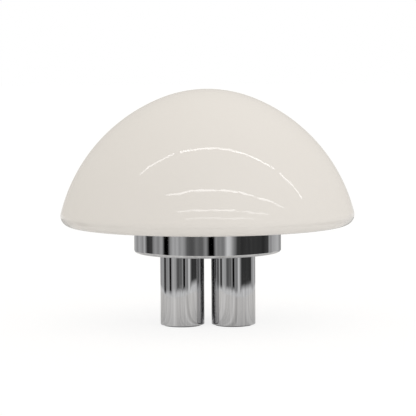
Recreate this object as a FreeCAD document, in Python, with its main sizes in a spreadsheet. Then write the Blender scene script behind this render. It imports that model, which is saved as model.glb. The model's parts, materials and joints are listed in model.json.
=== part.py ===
import FreeCAD, Part
import math
import os
import re

import Sketcher
from FreeCAD import Vector

# Mushroom table lamp: a blown opal glass dome that sits on a chromed drum, which stands on four chromed
# tubes. Lengths are millimetres, angles degrees. Z is up, -Y is the front, and the origin is on the table
# under the middle of the lamp.

# --- driving dimensions ---------------------------------------------------------------------------

SIZES = {
    # feet and tubes
    "felt_margin": 4.6,
    "felt_thickness": 1.5,
    "leg_diameter": 59.2,
    "leg_wall": 1.5,
    "leg_length": 94.5,
    "leg_spacing": 69.0,
    "leg_edge_break": 0.4,
    "plug_height": 12.0,
    "plug_floor": 3.0,
    "plug_wall": 2.5,
    "plug_boss_diameter": 18.0,
    "plug_rib_thickness": 2.0,
    "plug_rib_height": 7.0,
    "plug_clearance": 0.1,
    "plug_cable_hole_diameter": 13.0,
    "cable_way_offset": 17.0,
    # the tie rods that clamp foot, tube, drum and tray together
    "rod_diameter": 6.0,
    "rod_hole_clearance": 0.25,
    "thread_clearance": 0.05,
    "nut_across_flats": 10.0,
    "nut_height": 5.0,
    "nut_pocket_clearance": 0.15,
    "nut_pocket_depth": 7.0,
    "washer_diameter": 18.0,
    "washer_thickness": 1.6,
    "cap_nut_height": 12.0,
    # drum and the felt ring that the glass sits on
    "drum_diameter": 200.0,
    "drum_height": 38.0,
    "drum_sheet": 1.2,
    "drum_edge_radius": 4.0,
    "drum_top_radius": 2.0,
    "drum_shoulder_width": 7.0,
    "seat_thickness": 1.5,
    "grommet_flange_diameter": 12.0,
    "grommet_flange_thickness": 1.5,
    "grommet_hole_diameter": 8.4,
    "cable_bore_diameter": 7.0,
    # tray that carries the lampholders; its upturned rim centres the glass
    "tray_clearance": 0.6,
    "tray_sheet": 1.0,
    "tray_depth": 16.0,
    "tray_corner_radius": 4.0,
    "tray_below_drum_top": 7.0,
    # lampholders for small screw bulbs
    "holder_spacing": 46.0,
    "nipple_diameter": 10.0,
    "nipple_bore": 7.0,
    "nipple_below_tray": 8.0,
    "nipple_above_tray": 6.0,
    "nipple_nut_across_flats": 14.0,
    "nipple_nut_height": 3.5,
    "holder_diameter": 27.0,
    "holder_wall": 2.0,
    "holder_boss_diameter": 15.0,
    "holder_base_height": 18.0,
    "holder_sleeve_height": 20.0,
    "holder_sleeve_taper": 0.6,
    "sleeve_floor_drop": 5.0,
    "sleeve_floor": 2.0,
    "flute_diameter": 1.8,
    "flute_margin": 3.5,
    "shell_diameter": 16.0,
    "shell_sheet": 0.9,
    "shell_clearance": 0.1,
    "shell_height": 20.0,
    "contact_diameter": 7.0,
    "contact_height": 1.6,
    # bulbs
    "cap_diameter": 13.9,
    "cap_sheet": 0.5,
    "cap_length": 20.0,
    "cap_flare_diameter": 16.6,
    "cap_flare_height": 3.0,
    "insulator_height": 3.0,
    "insulator_diameter": 10.4,
    "tip_diameter": 5.0,
    "bulb_diameter": 45.0,
    "bulb_length": 78.0,
    "bulb_wall": 0.8,
    "neck_diameter": 12.4,
    "neck_bend_radius": 20.0,
    # wiring inside the drum
    "lead_diameter": 2.4,
    "lead_bend_radius": 10.0,
    "lead_offset": 1.9,
    "lead_end_height": 4.0,
    "block_length": 30.0,
    "block_width": 18.0,
    "block_height": 14.0,
    "block_pole_pitch": 10.5,
    "block_screw_pitch": 9.0,
    "block_waist": 3.0,
    "terminal_screw_diameter": 3.6,
    "terminal_well_diameter": 4.6,
    "terminal_screw_depth": 2.0,
    "wire_way_diameter": 3.4,
    "fixing_diameter": 2.5,
    "fixing_head_diameter": 4.4,
    "fixing_head_height": 1.8,
    "fixing_tail": 4.0,
    # bush in the rear right tube, where the mains cord leaves
    "bush_height": 22.0,
    "bush_hole_diameter": 9.0,
    "bush_flange_diameter": 13.0,
    "bush_flange_thickness": 1.7,
    "bush_snap_diameter": 10.6,
    "bush_snap_length": 2.5,
    # glass dome
    "shade_diameter": 400.0,
    "shade_wall": 3.0,
    "crown_radius": 169.0,
    "crown_angle": 21.0,
    "flank_angle": 75.7,
    "lip_radius": 13.6,
    "shade_opening_margin": 2.0,
    "glass_seat_width": 9.0,
    "lip_drop": 2.1,
    "plug_rib_root": 0.5,
    "rod_tail": 1.0,
    "cap_nut_bore_depth": 9.0,
    "cap_nut_shoulder": 0.5,
    "seat_inset": 0.5,
    "bush_clearance": 0.1,
    "bush_fit": 0.02,
    "bush_saddle_depth": 1.1,
    "sleeve_fit": 0.1,
    "sleeve_mouth_diameter": 19.0,
    "shell_collar_height": 5.0,
    "neck_in_cap": 9.0,
    "flare_rise": 1.0,
    "block_way_height": 6.0,
    "block_waist_width": 4.8,
    "fixing_hole_diameter": 2.7,
    "lead_straight": 1.0,
    "lead_feed_offset": 1.4,
    "lead_in_block": 6.0,
}

# Places that follow from the driving dimensions. Those of the glass have their origin on the felt ring, those
# of a lampholder on the tray's floor, and those of a bulb at its tip.
PLACES = {
    "leg_radius": "leg_diameter / 2",
    "leg_reach": "leg_spacing / 2",
    "felt_radius": "leg_radius - felt_margin",
    "drum_bottom": "felt_thickness + leg_length",
    "drum_floor_top": "drum_bottom + drum_sheet",
    "drum_radius": "drum_diameter / 2",
    "drum_top": "drum_bottom + drum_height",
    "drum_opening_radius": "drum_radius - drum_shoulder_width",
    "seat_top": "drum_top + seat_thickness",
    "seat_inner_radius": "drum_opening_radius + seat_inset",
    "seat_outer_radius": "drum_radius - drum_top_radius",
    "tray_radius": "drum_opening_radius - tray_clearance",
    "tray_bottom": "drum_top - tray_below_drum_top",
    "tray_floor_top": "tray_bottom + tray_sheet",
    "plug_radius": "leg_radius - leg_wall - plug_clearance",
    "foot_nut_bottom": "felt_thickness + nut_pocket_depth - nut_height",
    "rod_bottom": "foot_nut_bottom - rod_tail",
    "rod_top": "tray_floor_top + cap_nut_bore_depth - rod_tail",
    "rod_hole_radius": "rod_diameter / 2 + rod_hole_clearance",
    "nut_bore_radius": "rod_diameter / 2 + thread_clearance",
    "grommet_reach": "leg_reach - cable_way_offset / sqrt(2)",
    "nipple_bottom": "tray_bottom - nipple_below_tray",
    "nipple_hole_radius": "nipple_diameter / 2 + thread_clearance",
    "holder_radius": "holder_diameter / 2",
    "sleeve_foot_radius": "holder_radius - holder_wall - sleeve_fit",
    "sleeve_floor_top": "holder_base_height - sleeve_floor_drop",
    "sleeve_top": "holder_base_height + holder_sleeve_height",
    "sleeve_top_radius": "holder_radius - holder_sleeve_taper",
    "shell_radius": "shell_diameter / 2",
    "shell_hole_radius": "shell_radius + shell_clearance",
    "shell_collar_radius": "shell_hole_radius + holder_wall",
    "bulb_seat": "sleeve_floor_top + contact_height",
    "cap_top": "insulator_height + cap_length",
    "cap_flare_bottom": "cap_top - cap_flare_height",
    "cap_radius": "cap_diameter / 2",
    "neck_radius": "neck_diameter / 2",
    "bulb_radius": "bulb_diameter / 2",
    "bulb_centre": "bulb_length - bulb_radius",
    "neck_reach": "(bulb_radius + neck_bend_radius)",
    "neck_arc_radius": "(neck_radius + neck_bend_radius)",
    "neck_top": "bulb_centre - sqrt(neck_reach ^ 2 - neck_arc_radius ^ 2)",
    "neck_foot": "cap_top - neck_in_cap",
    "terminal_screw_length": "block_height - terminal_screw_depth - block_way_height - lead_diameter / 2",
    "wire_way_height": "drum_floor_top + block_way_height",
    "lead_run_height": "nipple_bottom - lead_straight - lead_bend_radius",
    "lead_top": "tray_floor_top + lead_end_height",
    "shade_radius": "shade_diameter / 2",
    "opening_radius": "drum_opening_radius + shade_opening_margin",
    "lip_centre_radius": "shade_radius - lip_radius",
    "lip_centre_height": "lip_radius - lip_drop",
    "flank_run": "lip_centre_radius + lip_radius * sin(flank_angle) - crown_radius * sin(crown_angle)",
    "flank_radius": "flank_run / (sin(flank_angle) - sin(crown_angle))",
    "flank_centre_height": "lip_centre_height - (flank_radius - lip_radius) * cos(flank_angle)",
    "crown_centre_height": "flank_centre_height + (flank_radius - crown_radius) * cos(crown_angle)",
}


# --- the document, its sheet of sizes and its places ----------------------------------------------

doc = FreeCAD.newDocument("mushroom_table_lamp")
sheet = doc.addObject("Spreadsheet::Sheet", "sizes")
for row, (alias, number) in enumerate(SIZES.items(), start=1):
    sheet.set(f"A{row}", str(number))
    sheet.setAlias(f"A{row}", alias)
doc.recompute()

places = doc.addObject("App::VarSet", "places")


def full(formula):
    """Put the name of the sheet or of the places in front of each size or place that a formula names."""

    def owner(word):
        if word.group() in SIZES:
            return "sizes." + word.group()
        if word.group() in PLACES:
            return "places." + word.group()
        return word.group()

    return re.sub(r"[a-z]\w*", owner, formula)


for place_name, place_formula in PLACES.items():
    places.addProperty("App::PropertyFloat", place_name)
    places.setExpression(place_name, full(place_formula))
doc.recompute()


def value(formula):
    """What a formula comes to with the sizes as they are."""
    return float(places.evalExpression(full(formula)))


# --- sketches and features ------------------------------------------------------------------------

NODES = {}


def keep(label, part):
    """Give a finished sub-part the name that its file gets."""
    part.Label = label
    NODES[label] = part
    return part


def put(part, x="0", y="0", z="0", turn=0.0, tip_over=0.0):
    """Turn a part about X, then about Z, and tie its place to the sizes."""
    about_z = FreeCAD.Rotation(Vector(0, 0, 1), turn)
    about_x = FreeCAD.Rotation(Vector(1, 0, 0), tip_over)
    part.Placement = FreeCAD.Placement(Vector(value(x), value(y), value(z)), about_z.multiply(about_x))
    for axis, formula in zip("xyz", (x, y, z)):
        part.setExpression(f"Placement.Base.{axis}", full(formula))
    return part


def new_sketch(body, name, role="XZ_Plane", lift=None):
    """A sketch on one of the body's own planes, lifted off it along its normal if a formula is given."""
    plane = next(item for item in body.Origin.OriginFeatures if item.Role == role)
    sketch = body.newObject("Sketcher::SketchObject", name)
    sketch.AttachmentSupport = [(plane, "")]
    sketch.MapMode = "FlatFace"
    if lift is not None:
        sketch.setExpression("AttachmentOffset.Base.z", full(lift))
    return sketch


def hold(sketch, constraint, formula):
    """Add a constraint with a dimension, and tie the dimension to a formula."""
    index = sketch.addConstraint(Sketcher.Constraint(*constraint, value(formula)))
    sketch.setExpression(f"Constraints[{index}]", full(formula))


def pin_point(sketch, point, x, y):
    """Hold a point of a sketch, which is an (edge, end) pair, at x and y."""
    for kind, formula, axis_line in (("DistanceX", x, -2), ("DistanceY", y, -1)):
        if formula == "0":
            sketch.addConstraint(Sketcher.Constraint("PointOnObject", *point, axis_line))
        else:
            hold(sketch, (kind, -1, 1, *point), formula)


def arc_between(start, end, radius):
    """The short arc from start to end: it turns left for a positive radius and right for a negative one."""
    chord = end - start
    to_centre = math.sqrt(radius**2 - (chord.Length / 2) ** 2)
    left = Vector(-chord.y, chord.x, 0).normalize()
    centre = (start + end) * 0.5 + left * math.copysign(to_centre, radius)
    if radius < 0:
        start, end = end, start
    first = math.atan2(start.y - centre.y, start.x - centre.x)
    last = math.atan2(end.y - centre.y, end.x - centre.x)
    return Part.ArcOfCircle(Part.Circle(centre, Vector(0, 0, 1), abs(radius)), first, last)


def draw(sketch, corners, closed=True):
    """Draw and hold an outline. A corner is (x, y), or (x, y, radius, way) where an arc leaves it.

    The way is 1 for an arc that turns left and -1 for one that turns right.
    """
    points = [Vector(value(corner[0]), value(corner[1]), 0) for corner in corners]
    starts = []
    ends = []
    for index in range(len(corners) if closed else len(corners) - 1):
        start = points[index]
        end = points[(index + 1) % len(points)]
        if len(corners[index]) == 2:
            edge = sketch.addGeometry(Part.LineSegment(start, end), False)
            turns_left = True
        else:
            radius, way = corners[index][2:]
            edge = sketch.addGeometry(arc_between(start, end, value(radius) * way), False)
            hold(sketch, ("Radius", edge), radius)
            turns_left = way > 0
        starts.append((edge, 1 if turns_left else 2))
        ends.append((edge, 2 if turns_left else 1))
    after = starts[1:] + starts[:1] if closed else starts[1:]
    for end, start in zip(ends, after):
        sketch.addConstraint(Sketcher.Constraint("Coincident", *end, *start))
    held = starts if closed else starts + ends[-1:]
    for point, corner in zip(held, corners):
        pin_point(sketch, point, corner[0], corner[1])
    return sketch


def draw_circle(sketch, x, y, radius):
    """Draw and hold a circle."""
    centre = Vector(value(x), value(y), 0)
    edge = sketch.addGeometry(Part.Circle(centre, Vector(0, 0, 1), value(radius)), False)
    pin_point(sketch, (edge, 3), x, y)
    hold(sketch, ("Radius", edge), radius)


def draw_hexagon(sketch, across_flats):
    """Draw and hold a hexagon round the middle of a sketch."""
    corners = []
    for step in range(6):
        reach = f"({across_flats}) / sqrt(3)"
        corners.append((f"{reach} * cos({60 * step})", f"{reach} * sin({60 * step})"))
    corners[0] = (corners[0][0], "0")
    corners[3] = (corners[3][0], "0")
    draw(sketch, corners)


def draw_box(sketch, half_x, half_y, x="0", y="0"):
    """Draw and hold a rectangle about a middle point."""
    low_x = f"{x} - {half_x}"
    high_x = f"{x} + {half_x}"
    low_y = f"{y} - {half_y}"
    high_y = f"{y} + {half_y}"
    draw(sketch, [(low_x, low_y), (high_x, low_y), (high_x, high_y), (low_x, high_y)])


def revolve(body, outline, name="turned"):
    """Turn a sketched half section about its vertical axis."""
    feature = body.newObject("PartDesign::Revolution", name)
    feature.Profile = outline
    feature.ReferenceAxis = (outline, ["V_Axis"])
    feature.Angle = 360
    return feature


def turned(name, corners):
    """A body of revolution from a half section of (radius, height) corners."""
    body = doc.addObject("PartDesign::Body", name)
    revolve(body, draw(new_sketch(body, name + "_section"), corners))
    return body


def raise_pad(body, sketch, height, name="raised"):
    """Pad a sketch along its normal."""
    feature = body.newObject("PartDesign::Pad", name)
    feature.Profile = sketch
    feature.Length = value(height)
    feature.setExpression("Length", full(height))
    return feature


def cut(body, sketch, depth, name="cut", both_ways=False, forwards=False):
    """Cut a sketch out of a body: against its normal, along it, or half each way."""
    doc.recompute()
    before = body.Shape.Volume
    feature = body.newObject("PartDesign::Pocket", name)
    feature.Profile = sketch
    feature.Length = value(depth)
    feature.setExpression("Length", full(depth))
    feature.SideType = "Symmetric" if both_ways else "One side"
    feature.Reversed = forwards
    doc.recompute()
    if body.Shape.Volume >= before:
        raise RuntimeError(f"{body.Label}: {name} takes nothing away")
    return feature


def repeat_round(body, feature, count):
    """Repeat a feature round the body's vertical axis."""
    axis = next(item for item in body.Origin.OriginFeatures if item.Role == "Z_Axis")
    pattern = body.newObject("PartDesign::PolarPattern", feature.Name + "_ring")
    pattern.Originals = [feature]
    pattern.Axis = (axis, [""])
    pattern.Angle = 360
    pattern.Occurrences = count
    body.Tip = pattern
    return pattern


def cylinder(name, radius, height, x="0", y="0", z="0"):
    """A plain upright cylinder."""
    solid = doc.addObject("Part::Cylinder", name)
    solid.setExpression("Radius", full(radius))
    solid.setExpression("Height", full(height))
    return put(solid, x, y, z)


def hexagon_bar(name, across_flats, height, z="0"):
    """A plain upright hexagonal bar on the origin's axis."""
    solid = doc.addObject("Part::Prism", name)
    solid.Polygon = 6
    solid.setExpression("Circumradius", full(f"{across_flats} / sqrt(3)"))
    solid.setExpression("Height", full(height))
    return put(solid, z=z)


def bored(name, blank, radius, depth, z="0"):
    """A blank with a round bore of the given depth, from z up."""
    solid = doc.addObject("Part::Cut", name)
    solid.Base = blank
    solid.Tool = cylinder(name + "_bore", radius, depth, z=z)
    return solid


def group(label, members):
    """One node that holds several equal fasteners, each still a solid of its own."""
    compound = doc.addObject("Part::Compound", label)
    compound.Links = members
    return keep(label, compound)


# Where the four tubes stand, and the four lampholders between them.
TUBES = {"front_left": (-1, -1), "front_right": (1, -1), "rear_right": (1, 1), "rear_left": (-1, 1)}
HOLDERS = {"right": (1, 0), "rear": (0, 1), "left": (-1, 0), "front": (0, -1)}


def offset(side, distance):
    """A distance taken to the side that -1, 0 or 1 says."""
    return f"{side} * ({distance})" if side else "0"


def tube_spot(corner):
    """The x and y formulas of a tube's axis."""
    side_x, side_y = TUBES[corner]
    return offset(side_x, "leg_reach"), offset(side_y, "leg_reach")


def inward_turn(corner):
    """The turn about Z that points a tube's own +X at the lamp's middle."""
    side_x, side_y = TUBES[corner]
    return math.degrees(math.atan2(-side_y, -side_x))


def at_tubes(name, make, z):
    """Four of one fastener, one on each tube's axis, each turned as the plugs are."""
    members = []
    for corner in TUBES:
        x, y = tube_spot(corner)
        members.append(put(make(f"{name}_{corner}"), x, y, z, turn=inward_turn(corner) - 45))
    return members


def holder_spot(side):
    """The x and y formulas of a lampholder's axis."""
    side_x, side_y = HOLDERS[side]
    return offset(side_x, "holder_spacing"), offset(side_y, "holder_spacing")


# --- feet, tubes and plugs ------------------------------------------------------------------------

PLUG_RIBS = 4


def make_tube(corner):
    """A chromed tube with its sharp outer edges broken; the cord bush's hole is in the rear right one."""
    inside = "leg_radius - leg_wall"
    corners = [
        (inside, "0"),
        ("leg_radius - leg_edge_break", "0"),
        ("leg_radius", "leg_edge_break"),
        ("leg_radius", "leg_length - leg_edge_break"),
        ("leg_radius - leg_edge_break", "leg_length"),
        (inside, "leg_length"),
    ]
    body = turned(f"{corner}_tube", corners)
    if corner == "rear_right":
        hole = new_sketch(body, "bush_hole")
        draw_circle(hole, "0", "bush_height - felt_thickness", "bush_hole_diameter / 2")
        cut(body, hole, "leg_diameter", "bush_cut")
    x, y = tube_spot(corner)
    keep(f"{corner}_tube", put(body, x, y, "felt_thickness"))


def make_plug(label, corner, upside_down):
    """The moulded plug in a tube's end, with its ribbed boss, nut pocket and cable hole.

    Its own origin is in the tube's end plane, and it reaches into the tube from there. The cable hole is
    halfway between two ribs, and is turned towards the lamp's middle.
    """
    inside = "plug_radius - plug_wall"
    boss = "plug_boss_diameter / 2"
    corners = [
        ("rod_hole_radius", "0"),
        ("plug_radius", "0"),
        ("plug_radius", "plug_height"),
        (inside, "plug_height"),
        (inside, "plug_floor"),
        (boss, "plug_floor"),
        (boss, "plug_height"),
        ("rod_hole_radius", "plug_height"),
    ]
    body = turned(label, corners)
    rib = new_sketch(body, "rib", "XY_Plane", lift="plug_floor")
    low = f"{boss} - plug_rib_root"
    high = f"{inside} + plug_rib_root"
    half = "plug_rib_thickness / 2"
    draw(rib, [(low, f"-{half}"), (high, f"-{half}"), (high, half), (low, half)])
    repeat_round(body, raise_pad(body, rib, "plug_rib_height", "rib_pad"), PLUG_RIBS)
    pocket = new_sketch(body, "nut_pocket", "XY_Plane")
    draw_hexagon(pocket, "nut_across_flats + nut_pocket_clearance * 2")
    cut(body, pocket, "nut_pocket_depth", "nut_pocket_cut", forwards=True)
    way = new_sketch(body, "cable_hole", "XY_Plane")
    hole_reach = "cable_way_offset / sqrt(2)"
    draw_circle(way, hole_reach, hole_reach, "plug_cable_hole_diameter / 2")
    cut(body, way, "plug_height", "cable_hole_cut", forwards=True)
    x, y = tube_spot(corner)
    if upside_down:
        put(body, x, y, "drum_bottom", turn=inward_turn(corner) + 45, tip_over=180)
    else:
        put(body, x, y, "felt_thickness", turn=inward_turn(corner) - 45)
    keep(label, body)


def make_felt(corner):
    """The felt pad under a foot."""
    x, y = tube_spot(corner)
    label = f"{corner}_foot_felt"
    keep(label, cylinder(label, "felt_radius", "felt_thickness", x, y))


for tube_corner in TUBES:
    make_felt(tube_corner)
    make_tube(tube_corner)
    make_plug(f"{tube_corner}_foot_plug", tube_corner, upside_down=False)
    make_plug(f"{tube_corner}_head_plug", tube_corner, upside_down=True)


# --- tie rods and their fasteners -----------------------------------------------------------------

def tie_rod(name):
    return cylinder(name, "rod_diameter / 2", "rod_top - rod_bottom")


def nut(name):
    blank = hexagon_bar(name + "_blank", "nut_across_flats", "nut_height")
    return bored(name, blank, "nut_bore_radius", "nut_height")


def washer(name):
    blank = cylinder(name + "_blank", "washer_diameter / 2", "washer_thickness")
    return bored(name, blank, "rod_hole_radius", "washer_thickness")


def cap_nut(name):
    """A nut with a domed end over the rod."""
    dome_radius = "nut_across_flats / 2 - cap_nut_shoulder"
    hexagon = hexagon_bar(name + "_hexagon", "nut_across_flats", "nut_height")
    neck = cylinder(name + "_neck", dome_radius, f"cap_nut_height - {dome_radius}")
    dome = doc.addObject("Part::Sphere", name + "_dome")
    dome.setExpression("Radius", full(dome_radius))
    put(dome, z=f"cap_nut_height - ({dome_radius})")
    blank = doc.addObject("Part::MultiFuse", name + "_blank")
    blank.Shapes = [hexagon, neck, dome]
    return bored(name, blank, "nut_bore_radius", "cap_nut_bore_depth")


group("tie_rods", at_tubes("tie_rod", tie_rod, "rod_bottom"))
group("foot_nuts", at_tubes("foot_nut", nut, "foot_nut_bottom"))
group("floor_washers", at_tubes("floor_washer", washer, "drum_floor_top"))
group("floor_nuts", at_tubes("floor_nut", nut, "drum_floor_top + washer_thickness"))
group("tray_support_nuts", at_tubes("tray_support_nut", nut, "tray_bottom - nut_height"))
group("tray_cap_nuts", at_tubes("tray_cap_nut", cap_nut, "tray_floor_top"))


# --- drum, felt ring and tray ---------------------------------------------------------------------

def make_drum():
    """The chromed drum: one spun sheet, with a rounded lower edge and a shoulder turned in at the top."""
    inner = "drum_radius - drum_sheet"
    corners = [
        ("0", "0"),
        ("drum_radius - drum_edge_radius", "0", "drum_edge_radius", 1),
        ("drum_radius", "drum_edge_radius"),
        ("drum_radius", "drum_height - drum_top_radius", "drum_top_radius", 1),
        ("drum_radius - drum_top_radius", "drum_height"),
        ("drum_opening_radius", "drum_height"),
        ("drum_opening_radius", "drum_height - drum_sheet"),
        ("drum_radius - drum_top_radius", "drum_height - drum_sheet", "drum_top_radius - drum_sheet", -1),
        (inner, "drum_height - drum_top_radius"),
        (inner, "drum_edge_radius", "drum_edge_radius - drum_sheet", -1),
        ("drum_radius - drum_edge_radius", "drum_sheet"),
        ("0", "drum_sheet"),
    ]
    body = turned("drum", corners)
    holes = new_sketch(body, "floor_holes", "XY_Plane")
    for corner in TUBES:
        draw_circle(holes, *tube_spot(corner), "rod_hole_radius")
    draw_circle(holes, "grommet_reach", "grommet_reach", "grommet_hole_diameter / 2")
    for side in (-1, 1):
        draw_circle(holes, "0", offset(side, "block_pole_pitch / 2"), "fixing_hole_diameter / 2")
    cut(body, holes, "drum_edge_radius", "floor_holes_cut", forwards=True)
    keep("drum", put(body, z="drum_bottom"))


def make_seat_ring():
    """The felt ring that the glass sits on."""
    corners = [
        ("seat_inner_radius", "0"),
        ("seat_outer_radius", "0"),
        ("seat_outer_radius", "seat_thickness"),
        ("seat_inner_radius", "seat_thickness"),
    ]
    keep("seat_ring", put(turned("seat_ring", corners), z="drum_top"))


def make_tray():
    """The white tray over the drum: its rim stands up inside the glass and centres it."""
    corner_centre = "tray_radius - tray_corner_radius"
    corners = [
        ("0", "0"),
        (corner_centre, "0", "tray_corner_radius", 1),
        ("tray_radius", "tray_corner_radius"),
        ("tray_radius", "tray_depth"),
        ("tray_radius - tray_sheet", "tray_depth"),
        ("tray_radius - tray_sheet", "tray_corner_radius", "tray_corner_radius - tray_sheet", -1),
        (corner_centre, "tray_sheet"),
        ("0", "tray_sheet"),
    ]
    body = turned("lamp_tray", corners)
    holes = new_sketch(body, "tray_holes", "XY_Plane")
    for corner in TUBES:
        draw_circle(holes, *tube_spot(corner), "rod_hole_radius")
    for side in HOLDERS:
        draw_circle(holes, *holder_spot(side), "nipple_hole_radius")
    cut(body, holes, "tray_corner_radius", "tray_holes_cut", forwards=True)
    keep("lamp_tray", put(body, z="tray_bottom"))


make_drum()
make_seat_ring()
make_tray()


# --- cable ways -----------------------------------------------------------------------------------

def make_grommet():
    """The rubber grommet where the cable comes up through the drum's floor."""
    neck = "grommet_hole_diameter / 2 - bush_clearance"
    flange = "grommet_flange_diameter / 2"
    above = "drum_sheet + grommet_flange_thickness"
    corners = [
        ("cable_bore_diameter / 2", "-grommet_flange_thickness"),
        (flange, "-grommet_flange_thickness"),
        (flange, "0"),
        (neck, "0"),
        (neck, "drum_sheet"),
        (flange, "drum_sheet"),
        (flange, above),
        ("cable_bore_diameter / 2", above),
    ]
    body = turned("floor_grommet", corners)
    keep("floor_grommet", put(body, "grommet_reach", "grommet_reach", "drum_bottom"))


def make_bush():
    """The bush that the mains cord passes through the tube's wall in.

    Its own Z is the cord's way out. Its flange is cut to sit on the round of the tube, and a collar snaps in
    behind the wall.
    """
    outside = "bush_flange_thickness"
    wall = "leg_wall + bush_saddle_depth"
    body = doc.addObject("PartDesign::Body", "cord_bush")
    flange = [
        ("0", "-bush_saddle_depth"),
        ("bush_flange_diameter / 2", "-bush_saddle_depth"),
        ("bush_flange_diameter / 2", outside),
        ("0", outside),
    ]
    revolve(body, draw(new_sketch(body, "flange_section"), flange), "flange")
    saddle = new_sketch(body, "saddle")
    draw_circle(saddle, "0", "-leg_radius", "leg_radius + bush_fit")
    cut(body, saddle, "bush_flange_diameter + 2", "saddle_cut", both_ways=True)
    barrel_radius = "bush_hole_diameter / 2 - bush_clearance"
    collar_radius = "bush_snap_diameter / 2"
    collar_top = f"-({wall})"
    collar_bottom = f"-({wall} + bush_snap_length)"
    barrel = [
        ("0", collar_bottom),
        (collar_radius, collar_bottom),
        (collar_radius, collar_top),
        (barrel_radius, collar_top),
        (barrel_radius, outside),
        ("0", outside),
    ]
    revolve(body, draw(new_sketch(body, "barrel_section"), barrel), "barrel")
    bore = new_sketch(body, "bore", "XY_Plane")
    draw_circle(bore, "0", "0", "cable_bore_diameter / 2")
    cut(body, bore, "leg_diameter", "bore_cut", both_ways=True)
    x, y = tube_spot("rear_right")
    keep("cord_bush", put(body, x, f"{y} + leg_radius", "bush_height", tip_over=-90))


make_grommet()
make_bush()


# --- lampholders ----------------------------------------------------------------------------------

def make_nipple(name):
    length = "nipple_below_tray + tray_sheet + nipple_above_tray"
    return bored(name, cylinder(name + "_blank", "nipple_diameter / 2", length), "nipple_bore / 2", length)


def make_nipple_nut(name):
    blank = hexagon_bar(name + "_blank", "nipple_nut_across_flats", "nipple_nut_height")
    return bored(name, blank, "nipple_hole_radius", "nipple_nut_height")


def make_contact(name):
    return cylinder(name, "contact_diameter / 2", "contact_height")


def at_holders(name, make, z):
    """Four of one small piece, one on each lampholder's axis."""
    members = []
    for side in HOLDERS:
        x, y = holder_spot(side)
        members.append(put(make(f"{name}_{side}"), x, y, z))
    return members


def make_holder_base(side):
    """The lower cup of a lampholder, screwed on its nipple."""
    inside = "holder_radius - holder_wall"
    boss = "holder_boss_diameter / 2"
    corners = [
        ("nipple_hole_radius", "0"),
        ("holder_radius", "0"),
        ("holder_radius", "holder_base_height"),
        (inside, "holder_base_height"),
        (inside, "holder_wall"),
        (boss, "holder_wall"),
        (boss, "nipple_above_tray"),
        ("nipple_hole_radius", "nipple_above_tray"),
    ]
    label = f"{side}_holder_base"
    keep(label, put(turned(label, corners), *holder_spot(side), "tray_floor_top"))


GRIP_FLUTES = 16


def make_holder_sleeve(side):
    """The fluted sleeve of a lampholder, with the floor and the collar that hold its screw shell."""
    floor_bottom = "sleeve_floor_top - sleeve_floor"
    ledge = "holder_base_height + holder_wall"
    inner_top = "sleeve_top - holder_wall"
    corners = [
        ("0", floor_bottom),
        ("sleeve_foot_radius", floor_bottom),
        ("sleeve_foot_radius", "holder_base_height"),
        ("holder_radius", "holder_base_height"),
        ("sleeve_top_radius", "sleeve_top"),
        ("sleeve_mouth_diameter / 2", "sleeve_top"),
        ("sleeve_mouth_diameter / 2", inner_top),
        ("sleeve_top_radius - holder_wall", inner_top),
        ("holder_radius - holder_wall", ledge),
        ("shell_collar_radius", ledge),
        ("shell_collar_radius", "holder_base_height + shell_collar_height"),
        ("shell_hole_radius", "holder_base_height + shell_collar_height"),
        ("shell_hole_radius", "sleeve_floor_top"),
        ("0", "sleeve_floor_top"),
    ]
    label = f"{side}_holder_sleeve"
    body = turned(label, corners)
    flute = new_sketch(body, "flute", "XY_Plane", lift="holder_base_height + flute_margin")
    draw_circle(flute, "holder_radius", "0", "flute_diameter / 2")
    pocket = cut(body, flute, "holder_sleeve_height - flute_margin * 2", "flute_cut", forwards=True)
    repeat_round(body, pocket, GRIP_FLUTES)
    keep(label, put(body, *holder_spot(side), "tray_floor_top"))


def make_holder_shell(side):
    """The brass screw shell of a lampholder."""
    inside = "shell_radius - shell_sheet"
    corners = [
        (inside, "0"),
        ("shell_radius", "0"),
        ("shell_radius", "shell_height"),
        (inside, "shell_height"),
    ]
    label = f"{side}_holder_shell"
    shell = turned(label, corners)
    keep(label, put(shell, *holder_spot(side), "tray_floor_top + sleeve_floor_top"))


for holder_side in HOLDERS:
    make_holder_base(holder_side)
    make_holder_sleeve(holder_side)
    make_holder_shell(holder_side)
group("holder_nipples", at_holders("holder_nipple", make_nipple, "nipple_bottom"))
group("nipple_nuts", at_holders("nipple_nut", make_nipple_nut, "tray_bottom - nipple_nut_height"))
group("holder_contacts", at_holders("holder_contact", make_contact, "tray_floor_top + sleeve_floor_top"))


# --- bulbs ----------------------------------------------------------------------------------------

def make_bulb_tip(side):
    """The end contact of a bulb and the insulator round it."""
    corners = [
        ("0", "0"),
        ("tip_diameter / 2", "0"),
        ("insulator_diameter / 2", "insulator_height"),
        ("0", "insulator_height"),
    ]
    label = f"{side}_bulb_tip"
    keep(label, put(turned(label, corners), *holder_spot(side), "tray_floor_top + bulb_seat"))


def make_bulb_cap(side):
    """The screw cap of a bulb, flared where it holds the glass."""
    foot = "insulator_diameter / 2"
    bend = "insulator_height + cap_radius - insulator_diameter / 2"
    inside = "cap_radius - cap_sheet"
    flare = "cap_flare_diameter / 2"
    corners = [
        (f"{foot} - cap_sheet * 2", "insulator_height"),
        (foot, "insulator_height"),
        ("cap_radius", bend),
        ("cap_radius", "cap_flare_bottom"),
        (flare, "cap_flare_bottom + flare_rise"),
        (flare, "cap_top"),
        (f"{flare} - cap_sheet", "cap_top"),
        (f"{flare} - cap_sheet", "cap_flare_bottom + flare_rise + cap_sheet / 2"),
        (inside, "cap_flare_bottom + cap_sheet / 2"),
        (inside, f"{bend} + cap_sheet / 2"),
    ]
    label = f"{side}_bulb_cap"
    keep(label, put(turned(label, corners), *holder_spot(side), "tray_floor_top + bulb_seat"))


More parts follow.
